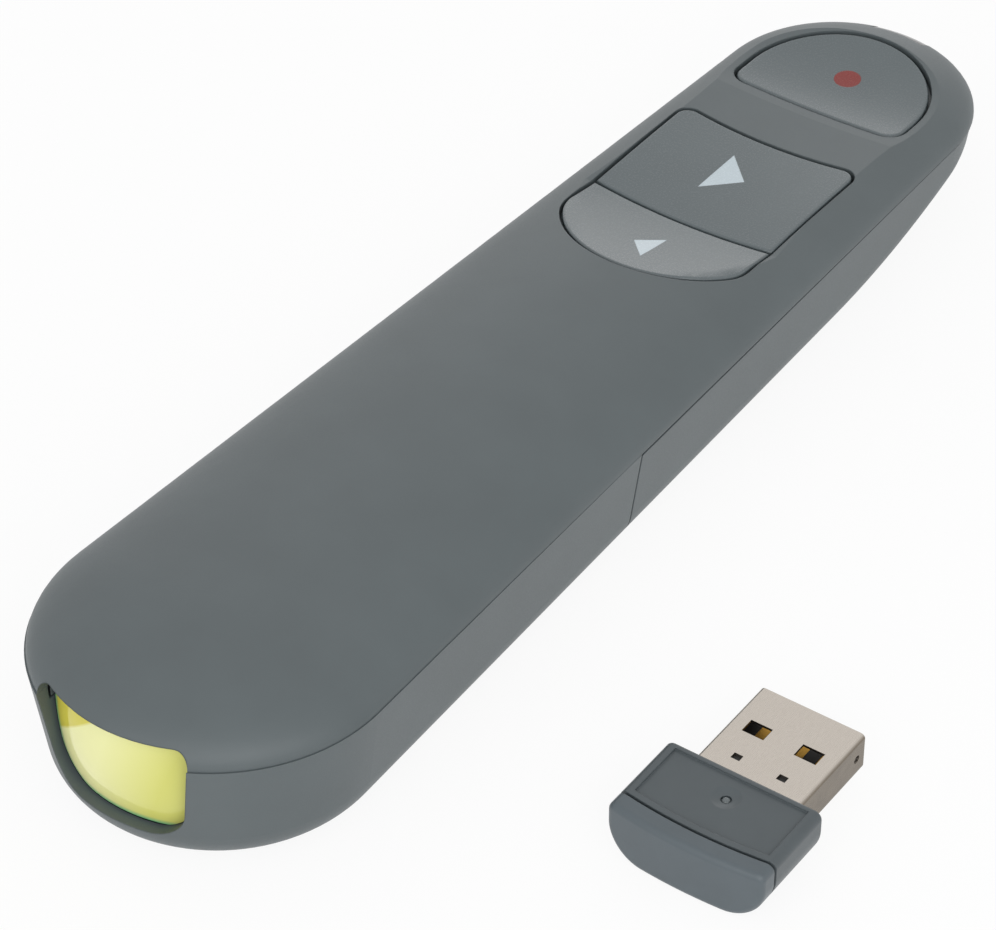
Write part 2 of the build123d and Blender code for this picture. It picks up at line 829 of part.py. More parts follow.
# ---------------------------------------------------------------- battery bay
def battery_tray():
    """Open frame round the two cells, with side rails and two screw plates."""
    start = bay_start_y - tray_end_wall
    end = bay_end_y + tray_end_wall
    low = cell_height - cell_radius + tray_floor_gap
    plate_low = board_bottom - tray_plate_thickness
    plate_half = tray_plate_half_width
    frame = box_between((-tray_half_width, start, low), (tray_half_width, end, board_bottom))
    bay = box_between(
        (-bay_half_width, bay_start_y, low - 1), (bay_half_width, bay_end_y, board_bottom + 1)
    )
    tray = frame - bay
    tray = tray + box_between(
        (-middle_rib_width / 2, bay_start_y, board_bottom - middle_rib_reach),
        (middle_rib_width / 2, bay_end_y, board_bottom),
    )
    root = tray_half_width - tray_wall / 2
    reach = tray_half_width + rail_reach
    for low_x, high_x in ((-reach, -root), (root, reach)):
        tray = tray + crease.location * box_between(
            (low_x, bay_start_y, -rail_drop - rail_thickness),
            (high_x, bay_end_y - 1.0, -rail_drop),
        )
    tray = tray + box_between(
        (-plate_half, end, plate_low),
        (plate_half, front_screw_y + tray_plate_overhang, board_bottom),
    )
    tray = tray + box_between(
        (-plate_half, rear_screw_y - tray_plate_overhang, plate_low),
        (plate_half, start, board_bottom),
    )
    for x, y in tray_screw_places():
        tray = tray - upright(x, y, 0, over_all, screw_radius + screw_hole_gap)
    return tray


def cell(side):
    """AAA cell along Y: the right one points up the handset, the left one to the tail."""
    can_length = cell_length - cell_nub_length
    seat = (Align.CENTER, Align.CENTER, Align.MIN)
    can = Cylinder(cell_radius, can_length, align=seat)
    can = fillet(can.edges().filter_by(GeomType.CIRCLE), cell_edge_round)
    nub = Pos(0, 0, can_length) * Cylinder(cell_nub_radius, cell_nub_length, align=seat)
    flat_end = bay_start_y + contact_thickness + spring_length
    if side < 0:
        flat_end = bay_end_y - contact_thickness - spring_length
    turn = -90 * side
    return Pos(side * cell_pitch / 2, flat_end, cell_height) * Rot(turn, 0, 0) * (can + nub)


def contact_springs():
    """One coil spring at the flat end of each cell, with its foot plate."""
    solids = []
    rise = spring_length - 2 * spring_wire_radius
    path = Helix(rise / spring_turns, rise, spring_radius)
    section = Plane(path @ 0, z_dir=path % 0) * RegularPolygon(spring_wire_radius, 6)
    coil = Pos(0, 0, spring_wire_radius) * sweep(section, path=path, is_frenet=True)
    plate = Pos(0, 0, -contact_thickness / 2) * Box(contact_size, contact_size, contact_thickness)
    for x, y, turn in (
        (cell_pitch / 2, bay_start_y + contact_thickness, -90),
        (-cell_pitch / 2, bay_end_y - contact_thickness, 90),
    ):
        place = Pos(x, y, cell_height) * Rot(turn, 0, 0)
        solids.append(place * plate)
        solids.append(place * coil)
    return Compound(children=solids)


def contact_plates():
    """Flat contacts at the button ends of the cells."""
    half = contact_size / 2
    solids = []
    for x, y in (
        (-cell_pitch / 2, bay_start_y),
        (cell_pitch / 2, bay_end_y - contact_thickness),
    ):
        solids.append(box_between(
            (x - half, y, cell_height - half), (x + half, y + contact_thickness, cell_height + half)
        ))
    return Compound(children=solids)


# ---------------------------------------------------------------- electronics
def circuit_board():
    """Long board: wide over the batteries and under the keys, narrow in the tail."""
    half = tray_half_width - board_side_gap
    step_y = bay_start_y - 1.0
    front = box_between((-half, step_y, board_bottom), (half, board_front_y, board_top))
    rear_half = board_rear_half_width
    rear = box_between((-rear_half, board_rear_y, board_bottom), (rear_half, step_y, board_top))
    corners = front.edges().filter_by(Axis.Z).group_by(Axis.Y)[-1]
    board = fillet(corners, board_front_corner) + rear
    notch = barrel_radius + 0.1
    board = board - box_between((-notch, barrel_rear_y - 0.2, 0), (notch, far, over_all))
    for x, y in tray_screw_places():
        board = board - upright(x, y, 0, over_all, screw_radius + screw_hole_gap)
    return board


def key_switches():
    """Low tact switch under each key, hollow for its plunger."""
    half = switch_size / 2
    solids = []
    for y in switch_places.values():
        base = box_between((-half, y - half, board_top), (half, y + half, switch_top))
        well = upright(0, y, board_top + switch_floor, over_all, plunger_radius + plunger_gap)
        solids.append(base - well)
    return Compound(children=solids)


def switch_plunger(name):
    top = switch_top + plunger_stand
    return upright(0, switch_places[name], switch_top - plunger_overlap, top, plunger_radius)


def board_chips():
    """Radio chip, its crystal, a memory chip and a choke behind the battery bay."""
    middle = (board_rear_y + rear_screw_y) / 2
    return Compound(children=[
        Pos(x, middle + from_middle, board_top + tall / 2) * Box(wide, deep, tall)
        for x, from_middle, wide, deep, tall in chips
    ])


def laser_barrel():
    tube = lengthwise(barrel_front_y, barrel_rear_y, beam_height, barrel_radius)
    mouth_y = barrel_front_y - barrel_bore_depth
    return tube - lengthwise(barrel_front_y, mouth_y, beam_height, barrel_bore_radius)


def laser_lens():
    front = barrel_front_y - laser_lens_recess
    return lengthwise(front, front - laser_lens_thickness, beam_height, barrel_bore_radius)


# ---------------------------------------------------------------- receiver
def receiver_at(solid):
    """From the receiver's own frame (plug tip at the origin, plug along +Y) to its place."""
    return Location((receiver_place[0], receiver_place[1], 0), (0, 0, receiver_turn)) * solid


def receiver_section(shrink):
    """Cross-section of the receiver: soft lower corners, crisper upper ones."""
    face = Pos(0, receiver_middle) * Rectangle(
        receiver_width - 2 * shrink, receiver_height - 2 * shrink
    )
    face = fillet(face.vertices().sort_by(Axis.Y)[:2], receiver_low_round - shrink)
    return fillet(face.vertices().sort_by(Axis.Y)[-2:], receiver_high_round)


def receiver_bar(shrink, y_high, y_low):
    plane = Plane(origin=(0, y_high, 0), x_dir=(1, 0, 0), z_dir=(0, -1, 0))
    return extrude(plane * receiver_section(shrink), y_high - y_low)


def bow_block(y, bulge=receiver_bow):
    """Everything on the plug's side of an arc that bulges back from station y."""
    half = receiver_width
    ends = y - bulge + bulge * (half / (receiver_width / 2)) ** 2
    block = make_face([
        ThreePointArc((-half, ends), (0, y - bulge), (half, ends)),
        Line((half, ends), (half, far)),
        Line((half, far), (-half, far)),
        Line((-half, far), (-half, ends)),
    ])
    return column(block, -over_all)


def receiver_body():
    """Body with a sunk top panel, a light dimple and the socket that grips the plug."""
    bar = receiver_bar(0, body_front, body_back - 3) & bow_block(body_back)
    bar = fillet(bar.faces().sort_by(Axis.Y)[-1].edges(), receiver_face_round)
    half = receiver_width / 2 - receiver_high_round - panel_border / 2
    panel_zone = bow_block(body_back + panel_border) & box_between(
        (-half, -far, panel_height), (half, body_front - panel_border, over_all)
    )
    bar = bar - panel_zone
    bar = bar - box_between(
        (-cavity_half_width, body_back + cavity_end_wall, receiver_middle - cavity_height / 2),
        (cavity_half_width, body_front - cavity_end_wall, cavity_top),
    )
    bar = bar - box_between(
        (-plug_width / 2, body_front - socket_depth, plug_low),
        (plug_width / 2, 0, plug_low + plug_height),
    )
    pipe_y = body_front - pipe_from_front
    bar = bar - upright(0, pipe_y, cavity_top - 0.1, over_all, pipe_radius + pipe_gap)
    ball_radius = (dimple_radius ** 2 + dimple_depth ** 2) / (2 * dimple_depth)
    ball_height = panel_height - dimple_depth + ball_radius
    bar = bar - Pos(0, pipe_y, ball_height) * Sphere(ball_radius)
    return receiver_at(bar)


def receiver_light():
    """Small light pipe in the dimple of the top panel."""
    high = panel_height - pipe_recess
    pipe = upright(0, body_front - pipe_from_front, cavity_top, high, pipe_radius)
    top_edge = pipe.edges().filter_by(GeomType.CIRCLE).sort_by(Axis.Z)[-1]
    return receiver_at(fillet(top_edge, pipe_round))


def receiver_end_cap():
    """Rounded end piece, set off from the body by a narrow groove round its neck."""
    bar = receiver_bar(0, body_back + 2, cap_end - 3) & bow_block(cap_end)
    bar = bar - bow_block(body_back - cap_groove)
    bar = fillet(bar.faces().sort_by(Axis.Y)[0].edges(), receiver_cap_round)
    neck = receiver_bar(cap_neck_depth, body_back + 2, cap_end)
    neck = (neck & bow_block(body_back - cap_groove - 0.5)) - bow_block(body_back)
    return receiver_at(bar + neck)


def plug_bar(shrink, y_high, y_low):
    """Rounded bar of the plug's section, shrunk evenly, between two stations."""
    plane = Plane(origin=(0, y_high, receiver_middle), x_dir=(1, 0, 0), z_dir=(0, -1, 0))
    face = RectangleRounded(plug_width - 2 * shrink, plug_height - 2 * shrink, plug_round - shrink)
    return extrude(plane * face, y_high - y_low)


def plug_shell():
    """Pressed metal sleeve with its two latch windows and two small slots on each face."""
    root_y = -plug_length - plug_root
    sleeve = plug_bar(0, 0, root_y) - plug_bar(plug_skin, 0, root_y)
    cuts = (
        (plug_window, plug_window_x, plug_window_from_tip),
        (plug_slot, plug_slot_x, plug_slot_from_tip),
    )
    for (wide, deep), from_middle, from_tip in cuts:
        for x in (-from_middle, from_middle):
            sleeve = sleeve - box_between(
                (x - wide / 2, -from_tip - deep, -1), (x + wide / 2, -from_tip, over_all)
            )
    across = Cylinder(plug_hole_radius, 2 * plug_width)
    hole = Pos(0, -plug_hole_from_tip, receiver_middle) * Rot(0, 90, 0) * across
    return receiver_at(sleeve - hole)


def pad_places():
    """Each entry: middle of a contact pad, and its distance from the plug's tip."""
    return [
        (-pad_outer_x, pad_outer_setback),
        (-pad_inner_x, pad_inner_setback),
        (pad_inner_x, pad_inner_setback),
        (pad_outer_x, pad_outer_setback),
    ]


def pad_boxes(side_gap, top_gap):
    """Shallow bars along the tongue, one for each contact."""
    top = plug_low + plug_skin + tongue_thickness
    half = pad_width / 2 + side_gap
    return [
        box_between(
            (x - half, -tongue_block_from_tip, top - pad_depth),
            (x + half, -setback + side_gap, top + top_gap),
        )
        for x, setback in pad_places()
    ]


def plug_tongue():
    """Insulating tongue in the lower half of the sleeve, and the block behind it."""
    core = plug_bar(plug_skin, -tongue_setback, -plug_length - plug_root)
    tongue_top = plug_low + plug_skin + tongue_thickness
    air = box_between((-far, -tongue_block_from_tip, tongue_top), (far, 0, over_all))
    tongue = core - air
    for groove in pad_boxes(touch_gap, 1.0):
        tongue = tongue - groove
    return receiver_at(tongue)


def plug_contacts():
    return Compound(children=[receiver_at(pad) for pad in pad_boxes(0, -0.02)])


def receiver_board():
    """Small board on the plug's block, with its radio chip."""
    half = receiver_board_half_width
    low = receiver_middle - 1.0
    high = low + receiver_board_thickness
    back = body_back + cavity_end_wall + 0.2
    board = box_between((-half, back, low), (half, -plug_length - plug_root, high))
    wide, deep, tall = receiver_chip
    chip_y = back + 0.6
    chip = box_between((-wide / 2, chip_y, high), (wide / 2, chip_y + deep, high + tall))
    return receiver_at(board + chip)


# ---------------------------------------------------------------- build
outer_envelope = envelope(0)
envelopes = {
    "wall": envelope(top_wall),
    "half": envelope(top_wall / 2),
    "cap": envelope(cap_thickness),
    "flange_high": envelope(top_wall + flange_gap),
    "flange_low": envelope(flange_bottom_inset),
    "relief": envelope(relief_skin),
    "mark": envelope(mark_depth),
    "glass_out": envelope(slot_glass_recess),
    "glass_in": envelope(slot_glass_recess + slot_glass_thickness),
}
lower_outer = lower_hull(0)
lower_inner = lower_hull(wall)

parts = {
    "upper_shell": upper_shell(),
    "rear_lower_shell": rear_lower_shell(),
    "battery_cover": battery_cover(),
    "battery_tray": battery_tray(),
    "battery_right": cell(1),
    "battery_left": cell(-1),
    "contact_springs": contact_springs(),
    "contact_plates": contact_plates(),
    "circuit_board": circuit_board(),
    "board_chips": board_chips(),
    "key_switches": key_switches(),
    "status_lights": status_lights(),
    "light_guide": light_guide(),
    "tail_lens": tail_lens(),
    "laser_barrel": laser_barrel(),
    "laser_lens": laser_lens(),
    "laser_window": laser_window(),
    "screws": screws(),
    "receiver_body": receiver_body(),
    "receiver_end_cap": receiver_end_cap(),
    "receiver_light": receiver_light(),
    "receiver_board": receiver_board(),
    "plug_shell": plug_shell(),
    "plug_tongue": plug_tongue(),
    "plug_contacts": plug_contacts(),
}
for name in key_outlines:
    mark = key_mark(name)
    parts[name + "_button"] = key_cap(name) - mark
    parts[name + "_mark"] = mark
    parts[name + "_plunger"] = switch_plunger(name)

os.makedirs("parts", exist_ok=True)
for name, solid in parts.items():
    export_step(solid, "parts/" + name + ".step")
    box = solid.bounding_box()
    print(f"{name:18s} solids {len(solid.solids()):2d}  volume {solid.volume:9.1f}  "
          f"x {box.min.X:7.2f} {box.max.X:7.2f}  y {box.min.Y:7.2f} {box.max.Y:7.2f}  "
          f"z {box.min.Z:6.2f} {box.max.Z:6.2f}")
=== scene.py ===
import json
import math

import bmesh
import bpy
from mathutils import Matrix, Vector
from mathutils.bvhtree import BVHTree
from mathutils.geometry import delaunay_2d_cdt
from mathutils.interpolate import poly_3d_calc


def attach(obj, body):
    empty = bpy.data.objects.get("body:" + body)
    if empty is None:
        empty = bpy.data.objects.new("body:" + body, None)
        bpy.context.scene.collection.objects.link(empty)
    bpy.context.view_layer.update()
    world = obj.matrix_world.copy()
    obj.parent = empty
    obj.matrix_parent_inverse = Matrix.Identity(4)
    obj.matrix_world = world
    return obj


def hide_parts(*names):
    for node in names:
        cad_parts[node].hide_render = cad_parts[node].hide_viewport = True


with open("model.json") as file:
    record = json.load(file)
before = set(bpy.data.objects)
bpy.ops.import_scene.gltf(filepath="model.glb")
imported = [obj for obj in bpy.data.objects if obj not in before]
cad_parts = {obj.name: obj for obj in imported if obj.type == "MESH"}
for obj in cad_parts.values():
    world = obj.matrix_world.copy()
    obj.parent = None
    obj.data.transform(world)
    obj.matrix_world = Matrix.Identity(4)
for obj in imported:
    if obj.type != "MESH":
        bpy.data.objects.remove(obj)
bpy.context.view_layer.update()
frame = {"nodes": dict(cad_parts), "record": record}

mm = 0.001
print("stage: frame loaded,", len(frame["nodes"]), "nodes")

noiseMiddle = (0.3, 0.7)  # most of a noise lies between these
noiseRoughness = 0.55
softDetail, grainDetail, brushDetail = 3.0, 2.0, 4.0
cornerSamples = 6  # rays that each eased corner takes
sideways, forward, upward = (1.0, 0.0, 0.0), (0.0, 1.0, 0.0), (0.0, 0.0, 1.0)


def newMaterial(name):
    material = bpy.data.materials.new(name)
    material.use_nodes = True
    tree = material.node_tree
    shader = tree.nodes["Principled BSDF"]
    place = tree.nodes.new("ShaderNodeTexCoord")
    return material, tree, shader, place.outputs["Object"]


def addNoise(tree, place, size, detail=softDetail, stretch=None):
    # noise whose blotches are about size metres across
    if stretch:
        squeeze = tree.nodes.new("ShaderNodeVectorMath")
        squeeze.operation = "MULTIPLY"
        squeeze.inputs[1].default_value = stretch
        tree.links.new(place, squeeze.inputs[0])
        place = squeeze.outputs[0]
    noise = tree.nodes.new("ShaderNodeTexNoise")
    noise.inputs["Scale"].default_value = 1.0 / size
    noise.inputs["Detail"].default_value = detail
    noise.inputs["Roughness"].default_value = noiseRoughness
    tree.links.new(place, noise.inputs["Vector"])
    return noise.outputs["Fac"]


def step(tree, value, start, end, low=0.0, high=1.0):
    # maps start..end onto low..high, and holds still beyond them
    ease = tree.nodes.new("ShaderNodeMapRange")
    labels = ("From Min", "From Max", "To Min", "To Max")
    for label, number in zip(labels, (start, end, low, high)):
        ease.inputs[label].default_value = number
    tree.links.new(value, ease.inputs["Value"])
    return ease.outputs["Result"]


def spread(tree, value, low, high):
    # maps the middle of a noise onto low..high
    return step(tree, value, *noiseMiddle, low, high)


def combine(tree, operation, first, second=0.0):
    node = tree.nodes.new("ShaderNodeMath")
    node.operation = operation
    for socket, value in zip(node.inputs, (first, second)):
        if isinstance(value, (int, float)):
            socket.default_value = value
        else:
            tree.links.new(value, socket)
    return node.outputs[0]


def along(tree, place, direction):
    # how far a point lies along a direction
    dot = tree.nodes.new("ShaderNodeVectorMath")
    dot.operation = "DOT_PRODUCT"
    dot.inputs[1].default_value = direction
    tree.links.new(place, dot.inputs[0])
    return dot.outputs["Value"]


def linear(colour):
    # a colour as a screen shows it, in the linear light that shaders take
    return [c / 12.92 if c <= 0.04045 else ((c + 0.055) / 1.055) ** 2.4 for c in colour]


def shaded(colour, share):
    return [min(1.0, c * share) for c in colour]


def tintBetween(tree, value, dark, light):
    ramp = tree.nodes.new("ShaderNodeValToRGB")
    for stop, position, colour in zip(ramp.color_ramp.elements, noiseMiddle, (dark, light)):
        stop.position = position
        stop.color = (*linear(colour), 1.0)
    tree.links.new(value, ramp.inputs["Fac"])
    return ramp.outputs["Color"]


def variedTint(tree, value, look):
    # the look's colour, a little darker and lighter from place to place
    colour, vary = look["colour"], look["vary"]
    return tintBetween(tree, value, shaded(colour, 1 - vary), shaded(colour, 1 + vary))


def blended(tree, share, first, second):
    mix = tree.nodes.new("ShaderNodeMix")
    mix.data_type = "RGBA"
    tree.links.new(share, mix.inputs["Factor"])
    for label, colour in (("A", first), ("B", second)):
        socket = [s for s in mix.inputs if s.name == label and s.type == "RGBA"][0]
        if isinstance(colour, (tuple, list)):
            socket.default_value = (*linear(colour), 1.0)
        else:
            tree.links.new(colour, socket)
    return [s for s in mix.outputs if s.type == "RGBA"][0]


def addRoughness(tree, shader, value, low, high):
    tree.links.new(spread(tree, value, low, high), shader.inputs["Roughness"])


def easedCorners(tree, radius, width=None):
    # rounds sharp corners over radius metres, or over what width gives from place to place
    eased = tree.nodes.new("ShaderNodeBevel")
    eased.samples = cornerSamples
    eased.inputs["Radius"].default_value = radius
    if width:
        tree.links.new(width, eased.inputs["Radius"])
    return eased.outputs["Normal"]


def addBump(tree, shader, value, height, corners=None):
    # fine grain on the surface, over the eased corners
    bump = tree.nodes.new("ShaderNodeBump")
    bump.inputs["Strength"].default_value = 1.0
    bump.inputs["Distance"].default_value = height
    tree.links.new(value, bump.inputs["Height"])
    if corners:
        tree.links.new(corners, bump.inputs["Normal"])
    tree.links.new(bump.outputs["Normal"], shader.inputs["Normal"])


def partingWidth(tree, place, look):
    # the two halves meet so closely at the tail that their joint keeps no rounded lip
    parting = look["parting"]
    rise = along(tree, place, (0.0, parting["slope"], 1.0))
    away = combine(tree, "ABSOLUTE", combine(tree, "SUBTRACT", rise, parting["height"]))
    clear = step(tree, away, *parting["fade"])
    ahead = step(tree, along(tree, place, forward), *parting["seam"])
    return combine(tree, "MULTIPLY", combine(tree, "MAXIMUM", clear, ahead), look["edge"])


def mouldedPlastic(name, look):
    material, tree, shader, place = newMaterial(name)
    blotch = addNoise(tree, place, look["blotch"])
    grain = addNoise(tree, place, look["grain"], grainDetail)
    tree.links.new(variedTint(tree, blotch, look), shader.inputs["Base Color"])
    rough, patchy = look["rough"], look["patchy"]
    addRoughness(tree, shader, grain, rough - patchy, rough + patchy)
    shader.inputs["Specular IOR Level"].default_value = look["shine"]
    width = partingWidth(tree, place, look) if "parting" in look else None
    addBump(tree, shader, grain, look["depth"], easedCorners(tree, look["edge"], width))
    return material


def platedMetal(name, look):
    material, tree, shader, place = newMaterial(name)
    brush = addNoise(tree, place, look["line"], brushDetail, look["stretch"])
    tint = variedTint(tree, brush, look)
    rough, patchy = look["rough"], look["patchy"]
    addRoughness(tree, shader, brush, rough - patchy, rough + patchy)
    shader.inputs["Metallic"].default_value = 1.0
    if "sideShade" in look:
        # painted shade: the narrow bent sides darker and browner than the broad faces, by which
        # way they face
        sideShadeLook = look["sideShade"]
        facing = tree.nodes.new("ShaderNodeTexCoord").outputs["Normal"]
        flank = combine(tree, "ABSOLUTE", along(tree, facing, sideways))
        blotch = spread(tree, addNoise(tree, place, sideShadeLook["blotch"]), 0.0, 1.0)
        sideShadeTint = blended(tree, blotch, sideShadeLook["colour"], shaded(sideShadeLook["colour"], 1 + sideShadeLook["vary"]))
        tint = blended(tree, step(tree, flank, *sideShadeLook["facing"]), tint, sideShadeTint)
    tree.links.new(tint, shader.inputs["Base Color"])
    addBump(tree, shader, brush, look["depth"])
    return material


def clearPlastic(name, look):
    material, tree, shader, place = newMaterial(name)
    cloud = addNoise(tree, place, look["blotch"])
    colour = look["colour"]
    tint = tintBetween(tree, cloud, shaded(colour, 1 - look["vary"]), colour)
    tree.links.new(tint, shader.inputs["Base Color"])
    addRoughness(tree, shader, cloud, look["rough"], look["rough"] + look["patchy"])
    shader.inputs["Transmission Weight"].default_value = look["clear"]
    shader.inputs["IOR"].default_value = look["bend"]
    return material


def tintedLens(name, look):
    # pale tinted gloss with painted shade: darker and richer to one side, a painted shadow of the
    # shell's overhang in the upper corner, dark green at its own edge
    material, tree, shader, place = newMaterial(name)
    # painted shade: the lens darker and richer toward one side
    lensShade = step(tree, along(tree, place, look["lensShadeWay"]), *look["lensShadeSpan"])
    tint = blended(tree, lensShade, look["pale"], look["lensShade"])
    # painted shadow of the shell's overhang over the upper corner of the lens
    corner = step(tree, along(tree, place, look["deepWay"]), *look["deepSpan"])
    tint = blended(tree, corner, tint, look["deep"])
    # distance from the side and the sill of the window, round its corner
    shorts = []
    for way, at in ((look["sideWay"], look["sideAt"]), (upward, look["sillAt"])):
        short = combine(tree, "SUBTRACT", look["corner"] + at, along(tree, place, way))
        short = combine(tree, "MAXIMUM", short)
        shorts.append(combine(tree, "MULTIPLY", short, short))
    inside = combine(tree, "SQRT", combine(tree, "ADD", *shorts))
    inside = combine(tree, "SUBTRACT", look["corner"], inside)
    tint = blended(tree, step(tree, inside, *look["fringeSpan"]), tint, look["fringe"])
    tint = blended(tree, step(tree, inside, *look["edgeSpan"]), tint, look["edge"])
    tree.links.new(tint, shader.inputs["Base Color"])
    shader.inputs["Specular IOR Level"].default_value = look["shine"]
    cloud = addNoise(tree, place, look["blotch"])
    addRoughness(tree, shader, cloud, look["rough"], look["rough"] + look["patchy"])
    return material


shellLook = {
    "colour": (0.328, 0.358, 0.367), "vary": 0.02, "blotch": 9 * mm,
    "grain": 0.16 * mm, "depth": 0.005 * mm, "rough": 0.45, "patchy": 0.04, "shine": 0.45,
    "edge": 0.22 * mm,
    "parting": {
        "height": 13.30 * mm, "slope": 0.016, "fade": (0.4 * mm, 0.9 * mm),
        "seam": (-8.8 * mm, -7.8 * mm)},
}
keyLook = {
    "colour": (0.35, 0.383, 0.394), "vary": 0.01, "blotch": 5 * mm,
    "grain": 0.2 * mm, "depth": 0.0002 * mm, "rough": 0.27, "patchy": 0.01, "shine": 0.5,
    "edge": 0.1 * mm,
}
dotLook = {**keyLook, "colour": (0.48, 0.11, 0.075)}
arrowLook = {**keyLook, "colour": (0.742, 0.79, 0.815)}
receiverLook = {
    "colour": (0.29, 0.318, 0.331), "vary": 0.02, "blotch": 4 * mm,
    "grain": 0.12 * mm, "depth": 0.004 * mm, "rough": 0.38, "patchy": 0.04, "shine": 0.45,
    "edge": 0.2 * mm,
}
# a lighter, bluer copy of the receiver grey: painted light on the end cap
litCapLook = {**receiverLook, "colour": (0.322, 0.356, 0.376)}
trayLook = {
    "colour": (0.10, 0.10, 0.11), "vary": 0.03, "blotch": 3 * mm,
    "grain": 0.2 * mm, "depth": 0.004 * mm, "rough": 0.42, "patchy": 0.04, "shine": 0.4,
    "edge": 0.08 * mm,
}
chipLook = {**trayLook, "colour": (0.07, 0.07, 0.07)}
switchLook = {**trayLook, "colour": (0.09, 0.09, 0.10)}
insulatorLook = {**trayLook, "colour": (0.05, 0.05, 0.06)}
boardLook = {**trayLook, "colour": (0.10, 0.30, 0.17), "rough": 0.3}
sleeveLook = {**trayLook, "colour": (0.17, 0.18, 0.20), "rough": 0.25}
slotLook = {**trayLook, "colour": (0.10, 0.10, 0.12), "rough": 0.08}
lensLook = {
    # lensShade is painted shade on one side of the lens
    "pale": (0.885, 0.885, 0.64), "lensShade": (0.79, 0.79, 0.425), "deep": (0.80, 0.765, 0.29),
    "lensShadeWay": (0.94, 0.0, -0.35), "lensShadeSpan": (-5.2 * mm, 1.8 * mm),
    # the upper corner's colour is a painted shadow of the shell's overhang
    "deepWay": (-0.648, 0.0, 0.762), "deepSpan": (12.45 * mm, 12.75 * mm),
    "sideWay": (0.989, 0.0, 0.148), "sideAt": -6.99 * mm, "sillAt": 4.1 * mm, "corner": 4.2 * mm,
    "fringe": (0.42, 0.70, 0.50), "fringeSpan": (1.0 * mm, 0.32 * mm),
    "edge": (0.03, 0.06, 0.04), "edgeSpan": (0.416 * mm, 0.256 * mm),
    "blotch": 3 * mm, "rough": 0.06, "patchy": 0.03, "shine": 0.3,
}
clearLook = {
    "colour": (0.93, 0.95, 0.93), "vary": 0.03, "blotch": 4 * mm,
    "rough": 0.05, "patchy": 0.03, "clear": 0.5, "bend": 1.49,
}
bumpLook = {
    **clearLook, "colour": (0.46, 0.49, 0.50), "blotch": 1 * mm, "rough": 0.12, "clear": 0.35,
}
metalLook = {
    "colour": (0.745, 0.715, 0.68), "vary": 0.012, "line": 0.12 * mm, "depth": 0.0006 * mm,
    "stretch": (1.0, 1.0, 1.0), "rough": 0.28, "patchy": 0.03,
}
plugLook = {
    **metalLook, "stretch": (1.0, 0.1, 0.3),
    # sideShade paints shade onto the narrow sides of the plug
    "sideShade": {
        "colour": (0.45, 0.415, 0.37), "vary": 0.12, "blotch": 2.5 * mm, "facing": (0.5, 0.95)},
}
springLook = {**metalLook, "colour": (0.75, 0.75, 0.74), "rough": 0.25}
screwLook = {**metalLook, "colour": (0.50, 0.50, 0.52), "rough": 0.35}
padLook = {**metalLook, "colour": (0.83, 0.66, 0.32), "stretch": (1.0, 0.2, 1.0), "rough": 0.3}
barrelLook = {**metalLook, "colour": (0.72, 0.56, 0.30), "rough": 0.3}

finishes = {
    "shell_grey": mouldedPlastic("softTouchGrey", shellLook),
    "key_grey": mouldedPlastic("keyGrey", keyLook),
    "laser_dot": mouldedPlastic("dotRed", dotLook),
    "key_arrow": mouldedPlastic("arrowPale", arrowLook),
    "tray_black": mouldedPlastic("trayBlack", trayLook),
    "chip_black": mouldedPlastic("chipBlack", chipLook),
    "switch_black": mouldedPlastic("switchBlack", switchLook),
    "insulator_black": mouldedPlastic("insulatorBlack", insulatorLook),
    "receiver_grey": mouldedPlastic("receiverGrey", receiverLook),
    "board_green": mouldedPlastic("boardGreen", boardLook),
    "cell_sleeve": mouldedPlastic("cellSleeve", sleeveLook),
    "laser_glass": mouldedPlastic("laserGlass", slotLook),
    "tail_lens": tintedLens("tailLens", lensLook),
    "clear_plastic": clearPlastic("clearPlastic", clearLook),
    "plug_steel": platedMetal("plugSteel", plugLook),
    "spring_steel": platedMetal("springSteel", springLook),
    "screw_steel": platedMetal("screwSteel", screwLook),
    "pad_gold": platedMetal("padGold", padLook),
    "barrel_brass": platedMetal("barrelBrass", barrelLook),
}

for part in frame["record"]["subparts"]:
    piece = frame["nodes"][part["node"]]
    piece.data.materials.clear()
    piece.data.materials.append(finishes[part["material_slot"]])
# two pieces of the receiver differ a little from the rest of their slot: the end cap takes a
# lighter, bluer copy of the receiver grey, which paints light on it
frame["nodes"]["receiver_end_cap"].data.materials[0] = mouldedPlastic("litCapGrey", litCapLook)
frame["nodes"]["receiver_light"].data.materials[0] = clearPlastic("smokyBump", bumpLook)
print("stage: finishes on the packed nodes")

weld = 1e-7  # metres within which two points are one
upright = 0.7  # least upward part of a normal on a key's top
gentle = math.radians(30)  # bends that the top runs on over
sharpest = 0.69  # limits the inset's reach at a sharp corner
spotsAround = 8  # places that even out a normal
gridGap = 0.4  # clear space round the grid, in pitches
probeHeight = 0.1  # metres, well above the top that is probed
roundOff = 1e-5  # tolerance of the triangles' layout, in millimetres


def runsOf(points):
    return zip(points, points[1:] + points[:1])


def edgeLoops(edges):
    left = set(edges)
    loops = []
    while left:
        edge = min(left, key=lambda e: e.index)
        left.discard(edge)
        loop = [edge.verts[0], edge.verts[1]]
        while True:
            ways = sorted((e for e in loop[-1].link_edges if e in left), key=lambda e: e.index)
            if not ways:
                break
            left.discard(ways[0])
            onward = ways[0].other_vert(loop[-1])
            if onward is loop[0]:
                break
            loop.append(onward)
        loops.append(loop)
    return loops


def planArea(ring):
    # positive where the ring runs counter-clockwise seen from above
    return sum(a.x * b.y - b.x * a.y for a, b in runsOf([v.co for v in ring])) / 2


def holds(points, spot):
    # whether a plan outline goes round the spot
    inside = False
    for a, b in runsOf(points):
        if (a.y > spot.y) != (b.y > spot.y):
            if spot.x < a.x + (spot.y - a.y) * (b.x - a.x) / (b.y - a.y):
                inside = not inside
    return inside


